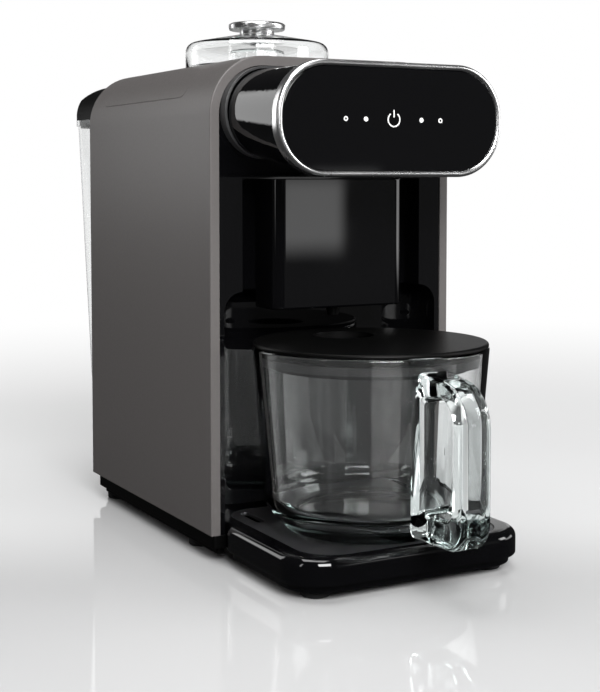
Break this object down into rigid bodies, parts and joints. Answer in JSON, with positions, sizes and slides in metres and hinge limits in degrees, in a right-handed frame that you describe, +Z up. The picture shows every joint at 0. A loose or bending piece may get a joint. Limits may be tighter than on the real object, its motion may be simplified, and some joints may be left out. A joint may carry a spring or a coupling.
{
  "type": "countertop drinks maker",
  "caption": "Tall countertop all-in-one drinks maker: painted shell, clear dome lid over a blender chamber, rear water tank, and a lidded glass pitcher on a sliding drip tray.",
  "frame": {"origin": "on the floor, at the middle of the whole object's length and width", "axes": "+Z up, +Y to the back where the water tank is, +X to the right seen from the front"},
  "size_m": [0.18, 0.4452, 0.3586],
  "materials": {
    "shell_paint": "satin warm grey powder coat",
    "black_gloss": "gloss",
    "black_glass": "gloss",
    "dark_satin": "satin",
    "chrome": "polished",
    "black_matte": "fine texture",
    "dark_metal": "polished dark",
    "rubber": "matte",
    "silicone": "satin",
    "clear_glass": "clear",
    "clear_plastic": "clear",
    "steel": "brushed",
    "aluminium": "cast",
    "zinc_steel": "zinc plated",
    "brass": "turned",
    "white_plastic": "satin",
    "circuit_board": "solder mask"
  },
  "bodies": {
    "housing": {"base_pan": "black_matte", "base_feet": "rubber", "shell": "shell_paint", "top_cover": "shell_paint", "fascia": "black_gloss", "outlet_housing": "black_gloss", "trim_ring": "dark_satin", "head_barrel": "black_gloss", "face_ring": "chrome", "face_plate": "black_glass", "touch_board": "circuit_board", "inner_chassis": "zinc_steel", "grinding_chamber": "steel", "shaft_bush": "brass", "motor": "zinc_steel", "motor_mounts": "rubber", "motor_screws": "steel", "chamber_support": "aluminium", "heater_plate": "aluminium", "chamber_gasket": "silicone", "temperature_probe": "steel", "valve_body": "white_plastic", "valve_motor": "black_matte", "valve_hose": "silicone", "outlet_pipe": "steel", "outlet_nozzle": "black_matte", "nozzle_seal": "silicone", "lid_sensor": "black_matte", "rear_panel": "black_matte", "tank_seat": "black_matte", "rear_screws": "steel", "base_screws": "steel", "cord_gland": "black_matte", "water_pump": "white_plastic", "intake_hose": "silicone", "feed_hose": "silicone", "power_board": "circuit_board", "control_board": "circuit_board", "board_standoffs": "brass"},
    "drip_tray": {"drip_tray": "black_gloss", "tray_plate": "dark_metal", "tray_feet": "rubber"},
    "pitcher": {"pitcher": "clear_glass"},
    "pitcher_lid": {"pitcher_lid": "black_matte", "pitcher_lid_gasket": "rubber"},
    "dome_lid": {"dome_lid": "clear_plastic", "lid_liner": "clear_plastic", "lid_knob": "chrome", "knob_screw": "steel", "lid_magnet": "black_matte"},
    "water_tank": {"water_tank": "clear_plastic", "tank_seal": "silicone"},
    "tank_cap": {"tank_cap": "black_matte"},
    "tank_valve": {"tank_valve_plunger": "white_plastic"},
    "blade": {"blade": "steel", "drive_shaft": "steel", "drive_coupling": "brass"},
    "valve_rotor": {"valve_rotor": "white_plastic"}
  },
  "joints": [
    {"name": "tray_slide", "type": "slide", "parent": "housing", "child": "drip_tray", "axis": [0, -1, 0], "range_m": [0, 0.12]},
    {"name": "pitcher_slide", "type": "slide", "parent": "drip_tray", "child": "pitcher", "axis": [0, -1, 0], "range_m": [0, 0.14]},
    {"name": "pitcher_lid_lift", "type": "slide", "parent": "pitcher", "child": "pitcher_lid", "axis": [0, 0, 1], "range_m": [0, 0.015]},
    {"name": "dome_lid_lift", "type": "slide", "parent": "housing", "child": "dome_lid", "axis": [0, 0, 1], "range_m": [0, 0.06]},
    {"name": "tank_lift", "type": "slide", "parent": "housing", "child": "water_tank", "axis": [0, 0, 1], "range_m": [0, 0.04]},
    {"name": "tank_cap_lift", "type": "slide", "parent": "water_tank", "child": "tank_cap", "axis": [0, 0, 1], "range_m": [0, 0.03]},
    {"name": "tank_valve_travel", "type": "slide", "parent": "water_tank", "child": "tank_valve", "axis": [0, 0, 1], "range_m": [0, 0.003], "stiffness_N_per_m": 60},
    {"name": "blade_spin", "type": "hinge", "parent": "housing", "child": "blade", "pos_m": [0, 0.0539, 0.23], "axis": [0, 0, 1], "continuous": true},
    {"name": "valve_turn", "type": "hinge", "parent": "housing", "child": "valve_rotor", "pos_m": [0, -0.0126, 0.222], "axis": [1, 0, 0], "range_deg": [0, 90]}
  ]
}
